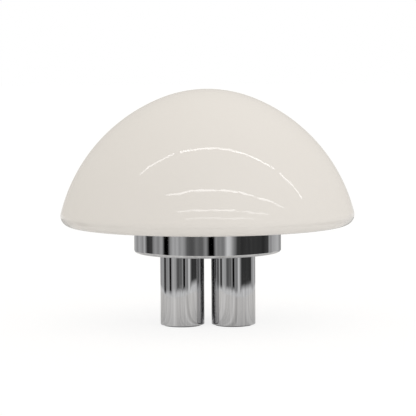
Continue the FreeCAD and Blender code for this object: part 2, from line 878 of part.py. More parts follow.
def make_bulb_globe(side):
    """The thin glass of a bulb: a sphere that bends smoothly into a straight neck."""

    def surface(inset):
        """The neck's end, the bend and the sphere of one face of the glass, from the cap up."""
        bend_radius = f"(neck_bend_radius + {inset})"
        ball_radius = f"(bulb_radius - {inset})"
        share = f"{ball_radius} / neck_reach"
        join = (f"neck_arc_radius * {share}", f"bulb_centre - (bulb_centre - neck_top) * {share}")
        neck = f"neck_radius - {inset}"
        return neck, bend_radius, join, ball_radius

    neck, bend, join, ball = surface("0")
    corners = [
        (neck, "neck_foot"),
        (neck, "neck_top", bend, -1),
        (*join, ball, 1),
        (ball, "bulb_centre", ball, 1),
        ("0", "bulb_length"),
    ]
    neck, bend, join, ball = surface("bulb_wall")
    corners += [
        ("0", "bulb_length - bulb_wall", ball, -1),
        (ball, "bulb_centre", ball, -1),
        (*join, bend, 1),
        (neck, "neck_top"),
        (neck, "neck_foot"),
    ]
    label = f"{side}_bulb_globe"
    keep(label, put(turned(label, corners), *holder_spot(side), "tray_floor_top + bulb_seat"))


for holder_side in HOLDERS:
    make_bulb_tip(holder_side)
    make_bulb_cap(holder_side)
    make_bulb_globe(holder_side)


# --- terminal block and leads ---------------------------------------------------------------------

POLES = (-1, 0, 1)


def make_terminal_block():
    """The moulded block on the drum's floor: three poles in a row along Y, with a waist between each two."""
    body = doc.addObject("PartDesign::Body", "terminal_block")
    foot = new_sketch(body, "foot", "XY_Plane")
    draw_box(foot, "block_width / 2", "block_length / 2")
    raise_pad(body, foot, "block_height", "block")
    waists = new_sketch(body, "waists", "YZ_Plane")
    waist_bottom = "block_height - block_waist"
    for side in (-1, 1):
        low = f"{side} * block_pole_pitch / 2 - block_waist_width / 2"
        high = f"{side} * block_pole_pitch / 2 + block_waist_width / 2"
        above = "block_height + 1"
        draw(waists, [(low, waist_bottom), (high, waist_bottom), (high, above), (low, above)])
    cut(body, waists, "block_width + 2", "waists_cut", both_ways=True)
    wells = new_sketch(body, "wells", "XY_Plane", lift="block_way_height")
    for pole in POLES:
        for side in (-1, 1):
            x = offset(side, "block_screw_pitch / 2")
            draw_circle(wells, x, offset(pole, "block_pole_pitch"), "terminal_well_diameter / 2")
    cut(body, wells, "block_height", "wells_cut", forwards=True)
    ways = new_sketch(body, "wire_ways", "YZ_Plane")
    for pole in POLES:
        draw_circle(ways, offset(pole, "block_pole_pitch"), "block_way_height", "wire_way_diameter / 2")
    cut(body, ways, "block_width + 2", "wire_ways_cut", both_ways=True)
    holes = new_sketch(body, "fixing_holes", "XY_Plane")
    for side in (-1, 1):
        draw_circle(holes, "0", offset(side, "block_pole_pitch / 2"), "fixing_hole_diameter / 2")
    cut(body, holes, "block_height", "fixing_holes_cut", forwards=True)
    keep("terminal_block", put(body, z="drum_floor_top"))


def make_terminal_screws():
    """The six screws that clamp the wires in the block."""
    top = "drum_floor_top + block_height - terminal_screw_depth"
    screws = []
    for pole in POLES:
        for side in (-1, 1):
            name = f"terminal_screw_{len(screws)}"
            screw = cylinder(name, "terminal_screw_diameter / 2", "terminal_screw_length")
            x = offset(side, "block_screw_pitch / 2")
            screws.append(put(screw, x, offset(pole, "block_pole_pitch"), f"{top} - terminal_screw_length"))
    group("terminal_screws", screws)


def make_block_fixings():
    """The two screws that hold the block down through the drum's floor."""
    screws = []
    for side in (-1, 1):
        name = f"block_fixing_{len(screws)}"
        shank_length = "block_height - block_waist + drum_sheet + fixing_tail"
        head_z = shank_length
        shank = cylinder(name + "_shank", "fixing_diameter / 2", shank_length)
        head = cylinder(name + "_head", "fixing_head_diameter / 2", "fixing_head_height", z=head_z)
        screw = doc.addObject("Part::MultiFuse", name)
        screw.Shapes = [shank, head]
        screws.append(put(screw, "0", offset(side, "block_pole_pitch / 2"), "drum_bottom - fixing_tail"))
    group("block_fixings", screws)


def swept_lead(name, corners):
    """A lead along a path of straight runs and bends, drawn in its body's XZ plane."""
    body = doc.addObject("PartDesign::Body", name)
    path = draw(new_sketch(body, name + "_path"), corners, closed=False)
    ends_up = new_sketch(body, name + "_end", "XY_Plane", lift=corners[-1][1])
    draw_circle(ends_up, corners[-1][0], "0", "lead_diameter / 2")
    pipe = body.newObject("PartDesign::AdditivePipe", name + "_pipe")
    pipe.Profile = ends_up
    pipe.Spine = path
    return body


def make_leads():
    """The twin leads: one from the block to the first lampholder, then one from each holder to the next."""
    bend = "lead_bend_radius"
    feed_x = "holder_spacing + lead_feed_offset"
    feed = swept_lead("feed_lead", [
        ("block_width / 2 - lead_in_block", "wire_way_height"),
        (f"{feed_x} - {bend}", "wire_way_height", bend, 1),
        (feed_x, f"wire_way_height + {bend}"),
        (feed_x, "lead_top"),
    ])
    leads = [feed]
    hop_end = "holder_spacing * sqrt(2) - lead_offset"
    for turn, side in ((135, "right"), (225, "rear"), (315, "left")):
        hop = swept_lead(f"hop_lead_{side}", [
            ("lead_offset", "lead_top"),
            ("lead_offset", f"lead_run_height + {bend}", bend, 1),
            (f"lead_offset + {bend}", "lead_run_height"),
            (f"{hop_end} - {bend}", "lead_run_height", bend, 1),
            (hop_end, f"lead_run_height + {bend}"),
            (hop_end, "lead_top"),
        ])
        leads.append(put(hop, *holder_spot(side), turn=turn))
    group("holder_leads", leads)


make_terminal_block()
make_terminal_screws()
make_block_fixings()
make_leads()


# --- glass dome -----------------------------------------------------------------------------------

def make_shade():
    """The blown opal glass: a crown, a steeper flank and a rolled lip that run smoothly into each other.

    Its floor slopes up from the lip to the flat band that sits on the felt ring, and is cut open there.
    """

    def on_arc(centre_radius, centre_height, radius, angle):
        """A point of an arc, from its angle away from straight up."""
        return f"{centre_radius} + {radius} * sin({angle})", f"{centre_height} + {radius} * cos({angle})"

    def faces(inset):
        lip = f"(lip_radius - {inset})"
        flank = f"(flank_radius - {inset})"
        crown = f"(crown_radius - {inset})"
        lip_bottom = ("lip_centre_radius", f"lip_centre_height - {lip}")
        lip_top = on_arc("lip_centre_radius", "lip_centre_height", lip, "flank_angle")
        flank_top = on_arc("0", "crown_centre_height", crown, "crown_angle")
        apex = ("0", f"crown_centre_height + {crown}")
        return lip, flank, crown, lip_bottom, lip_top, flank_top, apex

    seat_edge = "opening_radius + glass_seat_width"
    lip, flank, crown, lip_bottom, lip_top, flank_top, apex = faces("0")
    corners = [
        ("opening_radius", "0"),
        (seat_edge, "0"),
        (*lip_bottom, lip, 1),
        (*lip_top, flank, 1),
        (*flank_top, crown, 1),
        apex,
    ]
    lip, flank, crown, lip_bottom, lip_top, flank_top, apex = faces("shade_wall")
    corners += [
        (*apex, crown, -1),
        (*flank_top, flank, -1),
        (*lip_top, lip, -1),
        lip_bottom,
        (seat_edge, "shade_wall"),
        ("opening_radius", "shade_wall"),
    ]
    keep("shade", put(turned("shade", corners), z="seat_top"))


make_shade()


# --- check and write ------------------------------------------------------------------------------

doc.recompute()
for item in doc.Objects:
    if {"Invalid", "Error"} & set(item.State):
        raise RuntimeError(f"{item.Label} failed: {item.State}")
for node_name, node in NODES.items():
    if node.Shape.isNull() or not node.Shape.isValid():
        raise RuntimeError(f"{node_name} has no valid shape")

os.makedirs("parts", exist_ok=True)
for node_name, node in NODES.items():
    node.Shape.exportStep(f"parts/{node_name}.step")
print(f"{len(NODES)} sub-parts written")
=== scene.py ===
# %% [markdown]
# # Dressing a mushroom lamp
# The lamp is a wide opal glass dome that rests on a chromed drum, and the drum stands on four chromed
# tubes. Its metal, its threads and its glass are already solid parts, drawn to size. This lesson gives them
# their finishes, makes the threads that the solids leave plain, and sets up a small studio. Shapes could be
# made again here, but then they might drift from the real sizes. So the solids are loaded as they are, and
# only what they can't show is added.

# %% Load the lamp
import json
import math

import bpy
from mathutils import Matrix, Vector, noise


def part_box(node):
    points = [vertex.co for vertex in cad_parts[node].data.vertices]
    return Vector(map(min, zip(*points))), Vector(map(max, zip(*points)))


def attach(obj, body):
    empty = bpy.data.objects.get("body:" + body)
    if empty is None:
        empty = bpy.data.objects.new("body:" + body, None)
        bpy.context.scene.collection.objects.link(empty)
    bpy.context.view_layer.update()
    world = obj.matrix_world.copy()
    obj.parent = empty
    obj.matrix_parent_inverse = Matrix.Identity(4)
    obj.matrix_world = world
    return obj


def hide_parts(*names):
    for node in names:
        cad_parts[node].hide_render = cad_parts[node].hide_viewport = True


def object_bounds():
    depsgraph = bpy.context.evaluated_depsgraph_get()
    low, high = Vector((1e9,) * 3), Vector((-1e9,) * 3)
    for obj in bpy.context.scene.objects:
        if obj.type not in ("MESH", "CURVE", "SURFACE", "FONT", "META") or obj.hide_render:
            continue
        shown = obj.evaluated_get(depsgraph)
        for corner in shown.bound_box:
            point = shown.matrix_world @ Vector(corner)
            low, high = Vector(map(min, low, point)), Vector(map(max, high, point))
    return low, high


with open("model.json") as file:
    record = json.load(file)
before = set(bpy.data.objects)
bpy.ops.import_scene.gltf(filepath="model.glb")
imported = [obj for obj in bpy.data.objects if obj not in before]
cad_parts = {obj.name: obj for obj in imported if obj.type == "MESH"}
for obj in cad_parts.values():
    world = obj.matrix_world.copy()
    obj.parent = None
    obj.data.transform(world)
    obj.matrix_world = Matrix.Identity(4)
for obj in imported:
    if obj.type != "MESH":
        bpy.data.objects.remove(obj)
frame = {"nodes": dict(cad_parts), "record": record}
lamp_low, lamp_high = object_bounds()
print("solid pieces:", len(frame["nodes"]), "lamp height:", round(lamp_high.z - lamp_low.z, 4), "m")

# %% [markdown]
# ## The camera
# The photograph was taken from about three metres with a long lens, a little above the glass and almost
# level. A short lens nearby would show more of the dome's top and make the drum look narrower, so the long
# one is kept. The lens is worked out from how many pixels a metre covers at the lamp. The camera points a
# little off the lamp's middle and leans by a third of a degree, because the lamp stands slightly turned in
# the picture.

# %% Camera
PICTURE = 416
PIXELS_PER_METRE = 732.9
CAMERA_DISTANCE = 3.0
SENSOR_WIDTH = 36
camera_spot = Vector((0.0, -2.98737, 0.39173))
look_down, look_right, lean = 4.5185, 0.0167, 0.352

lamp_camera = bpy.data.objects.new("lamp_camera", bpy.data.cameras.new("lamp_camera"))
bpy.context.scene.collection.objects.link(lamp_camera)
lamp_camera.data.sensor_width = SENSOR_WIDTH
lamp_camera.data.lens = PIXELS_PER_METRE * CAMERA_DISTANCE / PICTURE * SENSOR_WIDTH
turn = Matrix.Rotation(math.radians(-look_right), 4, "Z") @ Matrix.Rotation(math.radians(90 - look_down), 4, "X")
lamp_camera.matrix_world = Matrix.Translation(camera_spot) @ turn @ Matrix.Rotation(math.radians(-lean), 4, "Z")
bpy.context.scene.camera = lamp_camera
bpy.context.scene.view_settings.view_transform = "Standard"
print("lens:", round(lamp_camera.data.lens, 1), "mm")

# %% [markdown]
# ## Wiring helpers
# Every finish below is a small tree of shader nodes. Adding nodes one by one takes many lines, so two
# helpers do it: `add` puts a node in a tree with its settings and its inputs, and `fresh_tree` empties a
# material's tree. An input may be a plain value or another node's output, which `add` then links.

# %% Node helpers
def add(tree, kind, inputs=None, **settings):
    """Puts a node in the tree. inputs maps a socket's name or number to a value or to another node's output."""
    made = tree.nodes.new(kind)
    for key, value in settings.items():
        setattr(made, key, value)
    for key, value in (inputs or {}).items():
        if isinstance(value, bpy.types.NodeSocket):
            tree.links.new(value, made.inputs[key])
        else:
            made.inputs[key].default_value = value
    return made


def fresh_tree(owner):
    """Switches the nodes of a material or a world on and clears them."""
    owner.use_nodes = True
    owner.node_tree.nodes.clear()
    return owner.node_tree


def grey(value):
    """A neutral colour with full alpha."""
    return (value, value, value, 1.0)


print("helpers ready")

# %% [markdown]
# ## The light of the room
# The lamp isn't lit itself: it stands in an even, pale studio. The light could come from several soft
# lamps, but their shapes would show in the chrome. So the world gives the light: warm from both sides and
# neutral between them, weaker from the left, and warmest and brightest from above, as on the real dome. The
# picture's background is plain white: a camera ray that misses everything meets white, and a mirrored ray
# meets a pale grey room.

# %% World
LIGHT_LEFT = (0.40, 0.375, 0.335, 1)
LIGHT_BETWEEN = (0.71, 0.715, 0.735, 1)
LIGHT_RIGHT = (0.92, 0.89, 0.86, 1)
LIGHT_ABOVE = (1.13, 1.075, 1.0, 1)
MIRRORED_ROOM = (0.66, 0.63, 0.59, 1)
studio_world = bpy.data.worlds.new("studio_world")
bpy.context.scene.world = studio_world
tree = fresh_tree(studio_world)
ray = add(tree, "ShaderNodeLightPath")
direction = add(tree, "ShaderNodeTexCoord")
axes = add(tree, "ShaderNodeSeparateXYZ", {0: direction.outputs["Generated"]})
from_right = add(tree, "ShaderNodeMapRange", {0: axes.outputs["X"], 1: -1.0, 2: 1.0, 3: 0.0, 4: 1.0})
from_above = add(tree, "ShaderNodeMapRange", {0: axes.outputs["Z"], 1: 0.0, 2: 1.0, 3: 0.0, 4: 1.0})
side_light = add(tree, "ShaderNodeValToRGB", {0: from_right.outputs[0]})
side_stops = side_light.color_ramp.elements
side_stops[0].color = LIGHT_LEFT
side_stops[1].color = LIGHT_RIGHT
side_stops.new(0.5).color = LIGHT_BETWEEN
room_light = add(tree, "ShaderNodeMix", {"Factor": from_above.outputs[0], 6: side_light.outputs[0],
                                         7: LIGHT_ABOVE}, data_type="RGBA")
mirrored = add(tree, "ShaderNodeMath", {0: ray.outputs["Is Glossy Ray"], 1: ray.outputs["Is Transmission Ray"]},
               operation="MAXIMUM")
seen_or_lit = add(tree, "ShaderNodeMix", {"Factor": mirrored.outputs[0], 6: room_light.outputs[2],
                                          7: MIRRORED_ROOM}, data_type="RGBA")
all_rays = add(tree, "ShaderNodeMix", {"Factor": ray.outputs["Is Camera Ray"], 6: seen_or_lit.outputs[2],
                                       7: grey(1.0)}, data_type="RGBA")
background = add(tree, "ShaderNodeBackground", {"Color": all_rays.outputs[2], "Strength": 1.0})
add(tree, "ShaderNodeOutputWorld", {"Surface": background.outputs[0]})
print("world nodes:", len(tree.nodes))

# %% [markdown]
# ## The table top
# The lamp stands on plain white that runs out of the picture. A lit white sheet would turn grey towards the
# horizon, so what the camera and the mirrors see is mostly an even white, with a share of real surface
# under it that keeps the soft shadow round the feet. The light that the sheet throws up on the glass is
# that of plain pale paint. In a mirror the white also drifts a little with the bearing, because a sheet of
# paper is never lit quite evenly, and that gives the lower tubes their soft upright lines.

# %% Table top
TABLE_HALF = 14.0
sheet_mesh = bpy.data.meshes.new("table_top")
sheet_corners = [(-TABLE_HALF, -TABLE_HALF, 0), (TABLE_HALF, -TABLE_HALF, 0),
                 (TABLE_HALF, TABLE_HALF, 0), (-TABLE_HALF, TABLE_HALF, 0)]
sheet_mesh.from_pydata(sheet_corners, [], [(0, 1, 2, 3)])
table_top = bpy.data.objects.new("table_top", sheet_mesh)
bpy.context.scene.collection.objects.link(table_top)
white_table = bpy.data.materials.new("white_table")
sheet_mesh.materials.append(white_table)
tree = fresh_tree(white_table)
ray = add(tree, "ShaderNodeLightPath")
paint = add(tree, "ShaderNodeBsdfDiffuse", {"Color": grey(0.875)})
white_paint = add(tree, "ShaderNodeBsdfDiffuse", {"Color": grey(1.0)})
even_white = add(tree, "ShaderNodeEmission", {"Color": grey(1.0), "Strength": 1.03})
spot = add(tree, "ShaderNodeTexCoord")
flat = add(tree, "ShaderNodeVectorMath", {0: spot.outputs["Object"], 1: (1.0, 1.0, 0.0)}, operation="MULTIPLY")
bearing = add(tree, "ShaderNodeVectorMath", {0: flat.outputs[0]}, operation="NORMALIZE")
# Painted reflection: mirrored rays meet a glow whose tone drifts with the bearing, while the camera sees even
# white.
around_drift = add(tree, "ShaderNodeTexNoise", {"Vector": bearing.outputs[0], "Scale": 4.0, "Detail": 4.0,
                                                "Roughness": 0.7})
drift_tone = add(tree, "ShaderNodeMapRange", {0: around_drift.outputs[0], 1: 0.36, 2: 0.64, 3: 0.44, 4: 0.92})
mirror_white = add(tree, "ShaderNodeEmission", {"Color": drift_tone.outputs[0], "Strength": 1.0})
camera_mix = add(tree, "ShaderNodeMixShader", {0: 0.82, 1: white_paint.outputs[0], 2: even_white.outputs[0]})
mirror_mix = add(tree, "ShaderNodeMixShader", {0: 0.6, 1: paint.outputs[0], 2: mirror_white.outputs[0]})
mirrored = add(tree, "ShaderNodeMath", {0: ray.outputs["Is Glossy Ray"], 1: ray.outputs["Is Transmission Ray"]},
               operation="MAXIMUM")
for_mirrors = add(tree, "ShaderNodeMixShader", {0: mirrored.outputs[0], 1: paint.outputs[0],
                                                2: mirror_mix.outputs[0]})
for_all = add(tree, "ShaderNodeMixShader", {0: ray.outputs["Is Camera Ray"], 1: for_mirrors.outputs[0],
                                            2: camera_mix.outputs[0]})
add(tree, "ShaderNodeOutputMaterial", {"Surface": for_all.outputs[0]})
print("table nodes:", len(tree.nodes))

# %% [markdown]
# ## What the chrome sees
# Polished chrome has hardly any colour of its own. What shows on it is the room, squeezed into upright
# streaks on the drum and the tubes. A plain room gives dull grey pipes. So a low wall of dark and bright
# cards stands round the lamp. They could be real lamps and flags, but then they would shade the glass. So
# only mirrored rays meet them, and they give no light and cast no shadow. The bearing 0 points to the
# camera, and bearings grow to the right. The wall is one round strip, and its tone is a colour stored on
# its corners, so that it can fade from grey to black without an edge. A ray that leaves the upright chrome
# goes down a little, so the streaks on the tubes end where it meets the foot of the wall.

# %% Card maker
TONE_SCALE = 4.0
cards_seen = bpy.data.materials.new("studio_cards")
tree = fresh_tree(cards_seen)
tone = add(tree, "ShaderNodeVertexColor", layer_name="tone")
glow = add(tree, "ShaderNodeEmission", {"Color": tone.outputs["Color"], "Strength": TONE_SCALE})
add(tree, "ShaderNodeOutputMaterial", {"Surface": glow.outputs[0]})


def only_for_mirrors(card):
    """Makes a studio piece visible to mirrored rays alone."""
    card.visible_camera = card.visible_diffuse = card.visible_shadow = False
    card.visible_transmission = card.visible_volume_scatter = False


def toned_mesh(name, corners, faces, tones):
    """A studio piece with a grey tone stored on each corner; the material multiplies it by the scale."""
    mesh = bpy.data.meshes.new(name)
    mesh.from_pydata(corners, [], faces)
    layer = mesh.color_attributes.new("tone", "FLOAT_COLOR", "POINT")
    for place, value in enumerate(tones):
        layer.data[place].color = grey(value / TONE_SCALE)
    mesh.materials.append(cards_seen)
    card = bpy.data.objects.new(name, mesh)
    bpy.context.scene.collection.objects.link(card)
    only_for_mirrors(card)
    return card


print("card maker ready")

# %% Cards round the lamp
# A grey wall with a few cards on it, on round bearings. Each card has its first and last bearing in
# degrees, its tone, and how high above the table its streak ends, in millimetres. Cards are never
# lit evenly, so a plain noise lets the tones drift a little.
CARD_DISTANCE = 0.42
DRUM_RADIUS, DRUM_TOP, SIGHT_SLOPE = 0.1, 0.136, 0.0921
FADE_BEGINS, FADE_SHARE, FADE_ENDS = 0.0005, 0.6, 0.0042
PALE, WALL_TONE, WALL_FOOT = 0.76, 0.35, 5
CARD_EDGE = 4.0
DRIFT_WIDTH, DRIFT = 5.0, 0.6
CARDS = {
    "pale_sheet_behind": (-190, -105, 0.50, 5),
    "flag_far_left": (-100, -85, 0.05, 0),
    "flag_left": (-65, -55, 0.0, 5),
    "bright_sheet_left": (-50, -35, 0.50, 10),
    "dim_sheet_front": (-30, -5, 0.15, 10),
    "flag_by_the_camera": (0, 10, 0.0, 10),
    "bright_sheet_right": (25, 35, 0.65, 20),
    "flag_right": (40, 100, 0.05, 15),
    "pale_sheet_right": (105, 150, 0.50, 5),
    "flag_behind": (155, 165, 0.05, 5),
    "pale_sheet_back": (170, 190, 0.50, 5),
}


def share_of_card(bearing, first, last):
    """1 on a card and 0 beside it, with a soft edge between."""
    after_first = min(1.0, max(0.0, (bearing - first) / CARD_EDGE + 0.5))
    before_last = min(1.0, max(0.0, (last - bearing) / CARD_EDGE + 0.5))
    return after_first * before_last


def wall_of_cards():
    """A low round wall, as high as the drum's top edge can mirror; its foot is as pale as the table."""
    top = lamp_low.z + DRUM_TOP - SIGHT_SLOPE * (CARD_DISTANCE - DRUM_RADIUS)
    corners, tones = [], []
    for bearing in range(-180, 181):
        tone, foot = WALL_TONE, WALL_FOOT
        for first, last, card_tone, card_foot in CARDS.values():
            share = share_of_card(bearing, first, last)
            tone += (card_tone - tone) * share
            foot += (card_foot - foot) * share
        tone *= 1 + DRIFT * noise.noise(Vector((bearing / DRIFT_WIDTH, 0.5, 0.5)))
        angle = math.radians(bearing)
        foot_height = foot / 1000
        x = CARD_DISTANCE * math.sin(angle)
        y = -CARD_DISTANCE * math.cos(angle)
        fade_from = FADE_BEGINS + foot_height * FADE_SHARE
        fade_to = FADE_ENDS + foot_height
        for height, shown in ((0.0, PALE), (fade_from, PALE), (fade_to, tone), (top, tone)):
            corners.append((x, y, height))
            tones.append(shown)
    faces = [(n + k, n + k + 4, n + k + 5, n + k + 1) for n in range(0, len(corners) - 4, 4) for k in range(3)]
    return toned_mesh("card_wall", corners, faces, tones)


card_wall = wall_of_cards()
print("cards:", len(CARDS), "wall corners:", len(card_wall.data.vertices))

# %% [markdown]
# ## The tubes of light on the ceiling
# Thin bright arcs cross the dome. They are rows of long light tubes on the room's ceiling behind the
# camera, mirrored in the glaze, and the small breaks in them are the gaps between two tubes. A painted line
# would stay in place when the view turns. Real strips over the lamp move over the glass as reflections do,
# so each strip is a thin flat ribbon under the ceiling, seen by mirrored rays only.

# %% Ceiling strips
CEILING = 2.5
STRIPS = {
    "near_left": (0.055, 5.0, [(-2.25, -0.55), (-1.28, -0.56), (-0.86, -0.54)]),
    "near_middle": (0.058, 6.0, [(-0.72, -0.55), (-0.25, -0.57), (0.51, -0.53), (1.20, -0.48), (1.62, -0.45),
                                 (2.12, -0.37)]),
    "near_right": (0.080, 5.0, [(2.41, -0.35), (3.32, -0.27), (4.74, -0.17)]),
    "second": (0.10, 5.5, [(-1.74, -2.27), (-1.14, -2.31), (0.07, -2.33), (1.28, -2.23), (2.10, -2.18)]),
    "second_right": (0.12, 5.0, [(2.24, -2.17), (3.24, -2.03), (4.21, -1.89)]),
    "third": (0.15, 4.2, [(-1.71, -3.70), (-0.94, -3.73), (0.09, -3.71), (1.75, -3.59)]),
    "third_right": (0.15, 3.6, [(1.94, -3.58), (2.80, -3.40), (3.77, -3.14)]),
    "far": (0.2, 2.8, [(-1.45, -4.59), (0.11, -4.67), (1.11, -4.59), (3.18, -4.18)]),
}


def ceiling_strip(name, width, brightness, spots):
    """A flat ribbon along the spots, under the ceiling."""
    corners = []
    for x, y in spots:
        corners += [(x, y - width / 2, CEILING), (x, y + width / 2, CEILING)]
    faces = [(n, n + 2, n + 3, n + 1) for n in range(0, len(corners) - 2, 2)]
    return toned_mesh(f"strip_{name}", corners, faces, [brightness] * len(corners))


for strip_name, (strip_width, strip_light, strip_spots) in STRIPS.items():
    ceiling_strip(strip_name, strip_width, strip_light, strip_spots)
print("strips:", len(STRIPS))

# %% [markdown]
# ## Effects that many finishes share
# Nothing handled stays perfectly even: polish is a little cloudier in places, moulded plastic has a fine
# grain, felt is a mat of fibres. Each effect could be built again in every material. Made once as a node
# group with named inputs, it can be reused with other values. A group gives out only a mask, a colour or a
# height, and the surface shader stays in the material.

# %% Group maker
def new_group(name, inputs, outputs):
    """An empty node group with its named float or colour sockets; returns the tree and its two end nodes."""
    group = bpy.data.node_groups.new(name, "ShaderNodeTree")
    for label, kind, start in inputs:
        socket = group.interface.new_socket(label, in_out="INPUT", socket_type=kind)
        socket.default_value = start
    for label, kind in outputs:
        group.interface.new_socket(label, in_out="OUTPUT", socket_type=kind)
    return group, group.nodes.new("NodeGroupInput"), group.nodes.new("NodeGroupOutput")


FLOAT, COLOUR = "NodeSocketFloat", "NodeSocketColor"
print("group maker ready")

# %% [markdown]
# ### Handling marks
# A cloud pattern with a finer one over it stands for the faint film and wiping marks on a polished face. It
# only moves the roughness by a small amount, so that the mirror stays a mirror.

# %% Handling marks group
handling_marks, way_in, way_out = new_group(
    "handling_marks", [("Scale", FLOAT, 20.0), ("Clean", FLOAT, 0.04), ("Cloudy", FLOAT, 0.09)],
    [("Roughness", FLOAT)])
spot = add(handling_marks, "ShaderNodeTexCoord")
clouds = add(handling_marks, "ShaderNodeTexNoise", {"Vector": spot.outputs["Object"],
                                                    "Scale": way_in.outputs["Scale"], "Detail": 4.0})
finer = add(handling_marks, "ShaderNodeMath", {0: way_in.outputs["Scale"], 1: 9.0}, operation="MULTIPLY")
wipes = add(handling_marks, "ShaderNodeTexNoise", {"Vector": spot.outputs["Object"], "Scale": finer.outputs[0],
                                                   "Detail": 2.0})
both = add(handling_marks, "ShaderNodeMath", {0: clouds.outputs[0], 1: wipes.outputs[0]}, operation="MULTIPLY")
shaped = add(handling_marks, "ShaderNodeMapRange", {0: both.outputs[0], 1: 0.18, 2: 0.42,
                                                    3: way_in.outputs["Clean"], 4: way_in.outputs["Cloudy"]})
handling_marks.links.new(shaped.outputs[0], way_out.inputs["Roughness"])
print(handling_marks.name, "nodes:", len(handling_marks.nodes))

# %% [markdown]
# ### Moulded grain
# Plastic and rubber take the fine skin of their mould. Small cells mixed with noise give a height for a
# bump, and a mask that makes the low places a little duller.

# %% Moulded grain group
moulded_grain, way_in, way_out = new_group(
    "moulded_grain", [("Scale", FLOAT, 900.0), ("Mottle", FLOAT, 0.5)], [("Height", FLOAT), ("Mask", FLOAT)])
spot = add(moulded_grain, "ShaderNodeTexCoord")
cells = add(moulded_grain, "ShaderNodeTexVoronoi", {"Vector": spot.outputs["Object"],
                                                    "Scale": way_in.outputs["Scale"]})
skin = add(moulded_grain, "ShaderNodeTexNoise", {"Vector": spot.outputs["Object"],
                                                 "Scale": way_in.outputs["Scale"], "Detail": 3.0})
mixed = add(moulded_grain, "ShaderNodeMix", {"Factor": way_in.outputs["Mottle"], 2: cells.outputs["Distance"],
                                             3: skin.outputs[0]})
moulded_grain.links.new(mixed.outputs[0], way_out.inputs["Height"])
moulded_grain.links.new(skin.outputs[0], way_out.inputs["Mask"])
print(moulded_grain.name, "nodes:", len(moulded_grain.nodes))

# %% [markdown]
# ### Felt
# Pressed felt is a mat of short fibres in two near tones with a soft, bumpy face. Noise stretched by a warp
# looks like matted hair, which a plain noise doesn't.

# %% Felt group
felt_mat, way_in, way_out = new_group(
    "felt_mat", [("Scale", FLOAT, 700.0), ("Dark Fibre", COLOUR, grey(0.4)), ("Light Fibre", COLOUR, grey(0.7))],
    [("Color", COLOUR), ("Height", FLOAT)])
spot = add(felt_mat, "ShaderNodeTexCoord")
fibres = add(felt_mat, "ShaderNodeTexNoise", {"Vector": spot.outputs["Object"],
                                              "Scale": way_in.outputs["Scale"], "Detail": 5.0,
                                              "Roughness": 0.7, "Distortion": 2.5})
tint = add(felt_mat, "ShaderNodeMix", {"Factor": fibres.outputs[0], 6: way_in.outputs["Dark Fibre"],
                                       7: way_in.outputs["Light Fibre"]}, data_type="RGBA")
felt_mat.links.new(tint.outputs[2], way_out.inputs["Color"])
felt_mat.links.new(fibres.outputs[0], way_out.inputs["Height"])
print(felt_mat.name, "nodes:", len(felt_mat.nodes))

# %% [markdown]
# ## Finishes
# Each finish is one material round one surface shader. `new_finish` makes the shader with its fixed values
# set on it, `marked` joins the handling marks to its roughness, and `bumped` joins a height to its normal.

# %% Finish helpers
def new_finish(name, **values):
    """A material with one surface shader; returns the material, its tree and the shader."""
    finish = bpy.data.materials.new(name)
    tree = fresh_tree(finish)
    inputs = {key.replace("_", " "): value for key, value in values.items()}
    surface = add(tree, "ShaderNodeBsdfPrincipled", inputs)
    add(tree, "ShaderNodeOutputMaterial", {"Surface": surface.outputs[0]})
    return finish, tree, surface


def marked(tree, surface, scale, clean, cloudy):
    """Gives a surface its handling marks."""
    marks = add(tree, "ShaderNodeGroup", node_tree=handling_marks)
    for label, value in (("Scale", scale), ("Clean", clean), ("Cloudy", cloudy)):
        marks.inputs[label].default_value = value
    tree.links.new(marks.outputs["Roughness"], surface.inputs["Roughness"])


def bumped(tree, surface, height, depth):
    """Gives a surface a bump of a real depth in metres."""
    bump = add(tree, "ShaderNodeBump", {"Height": height, "Distance": depth, "Strength": 1.0})
    tree.links.new(bump.outputs[0], surface.inputs["Normal"])


print("finish helpers ready")

# %% [markdown]
# ### Opal glass
# The dome is white glass with a clear, glossy face. Light goes a little way in and comes back warm white,
# so most of what shows is a soft body colour, with thin mirrored lines on it. Real glass with a scattering
# filling would be slow and noisy, so a white body under a sharp gloss is used. Blown glass is never quite
# even, so its tone drifts a little over a hand's width.

# %% Opal glass
opal_glass, tree, surface = new_finish("opal_glass", IOR=1.5, Roughness=0.03)
spot = add(tree, "ShaderNodeTexCoord")
drift = add(tree, "ShaderNodeTexNoise", {"Vector": spot.outputs["Object"], "Scale": 6.0, "Detail": 2.0})
body_tone = add(tree, "ShaderNodeMix", {"Factor": drift.outputs[0], 6: (0.825, 0.81, 0.79, 1),
                                        7: (0.86, 0.85, 0.83, 1)}, data_type="RGBA")
tree.links.new(body_tone.outputs[2], surface.inputs["Base Color"])
marked(tree, surface, 14.0, 0.02, 0.045)
print("opal glass nodes:", len(tree.nodes))

# %% [markdown]
# ### Drawn lines
# A tube is pulled through a die and then polished along its length, so very fine upright lines stay in the
# plate. Scratches could be cut in the mesh, but they are far thinner than a corner's spacing. Noise that is
# stretched tall does it: narrow across, long up and down.

